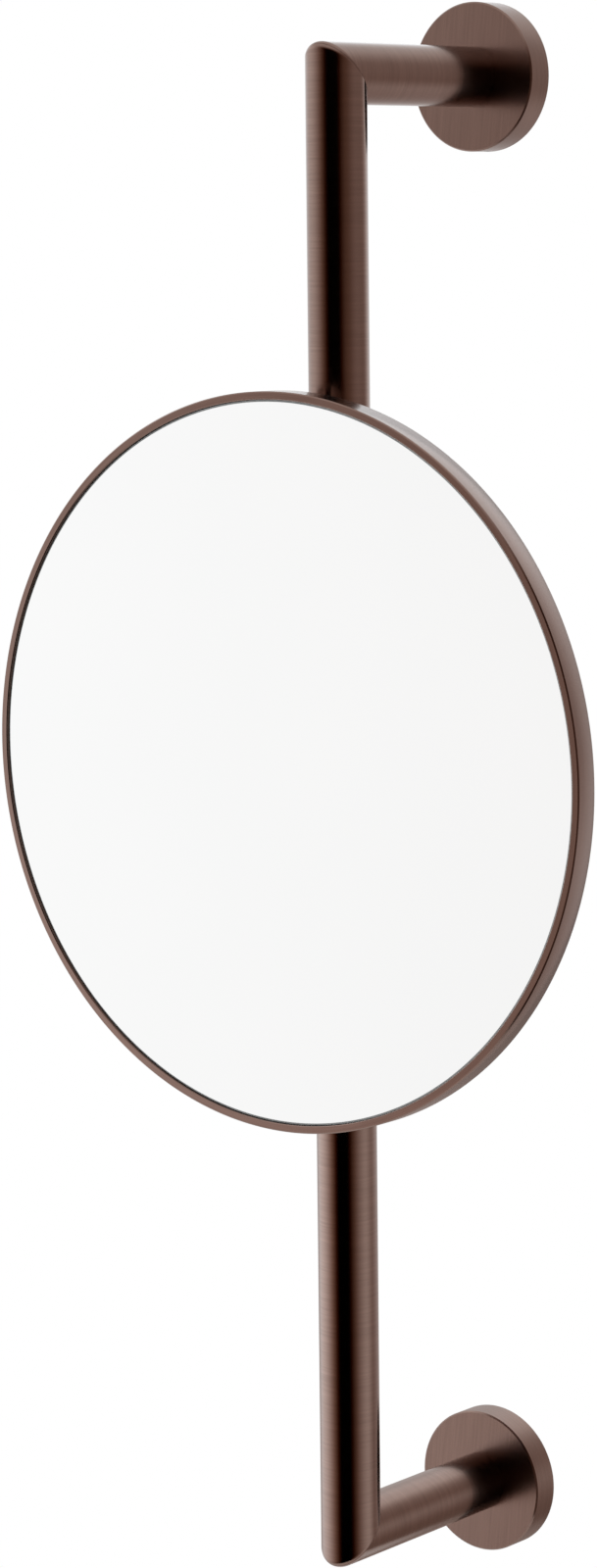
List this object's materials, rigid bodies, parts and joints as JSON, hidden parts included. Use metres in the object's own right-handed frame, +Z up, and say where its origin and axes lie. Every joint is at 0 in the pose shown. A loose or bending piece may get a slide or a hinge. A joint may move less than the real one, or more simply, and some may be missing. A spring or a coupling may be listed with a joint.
{
  "type": "makeup mirror",
  "caption": "Round wall-mounted makeup mirror that slides, swivels and tilts on an upright brushed bronze bar held off the wall by short mitred arms on round rosettes.",
  "frame": {"origin": "on the wall plane, on the bar's plane of symmetry, midway between the axes of the two arms", "axes": "+X right as seen from the front, +Y into the wall, +Z up along the bar"},
  "size_m": [0.216, 0.106, 0.4806],
  "materials": {
    "bronze_tube": "bronze-coated brass tube, brushed round its axis",
    "bronze_rosette": "bronze-coated brass, finely brushed straight up its face",
    "bronze_frame": "bronze-coated brass, finely brushed round the rim",
    "bronze_holder": "bronze-coated brass, finely brushed",
    "plain_brass": "bare machined brass",
    "zinc_steel": "zinc-plated steel",
    "nylon": "black nylon",
    "rubber": "moulded black rubber",
    "foam": "adhesive foam sheet",
    "mirror": "silvered flat glass"
  },
  "bodies": {
    "wall_frame": {"bar_tube": "bronze_tube", "upper_wall_plate": "zinc_steel", "upper_rosette": "bronze_rosette", "upper_grub_screw": "zinc_steel", "upper_arm_tube": "bronze_tube", "upper_arm_plug": "plain_brass", "upper_arm_screw": "zinc_steel", "upper_lock_washer": "zinc_steel", "lower_wall_plate": "zinc_steel", "lower_rosette": "bronze_rosette", "lower_grub_screw": "zinc_steel", "lower_arm_tube": "bronze_tube", "lower_arm_plug": "plain_brass", "lower_arm_screw": "zinc_steel", "lower_lock_washer": "zinc_steel"},
    "carriage": {"glide_bush": "nylon", "upper_grip_ring": "rubber", "lower_grip_ring": "rubber", "thrust_washer": "nylon", "bush_collar": "bronze_holder"},
    "swivel": {"swivel_sleeve": "bronze_holder"},
    "mirror_head": {"tilt_bracket": "bronze_holder", "bracket_screws": "zinc_steel", "tilt_pin": "zinc_steel", "tilt_nut": "zinc_steel", "right_hinge_washer": "nylon", "left_hinge_washer": "nylon", "frame_ring": "bronze_frame", "back_plate": "bronze_frame", "glass_pad": "foam", "mirror_glass": "mirror"}
  },
  "joints": [
    {"name": "height_slide", "type": "slide", "parent": "wall_frame", "child": "carriage", "axis": [0, 0, 1], "range_m": [-0.208, 0.169]},
    {"name": "swivel_turn", "type": "hinge", "parent": "carriage", "child": "swivel", "pos_m": [0, -0.074, 0.0196], "axis": [0, 0, 1], "range_deg": [-50, 50]},
    {"name": "mirror_tilt", "type": "hinge", "parent": "swivel", "child": "mirror_head", "pos_m": [0, -0.0922, 0.0196], "axis": [1, 0, 0], "range_deg": [-7, 7]}
  ]
}
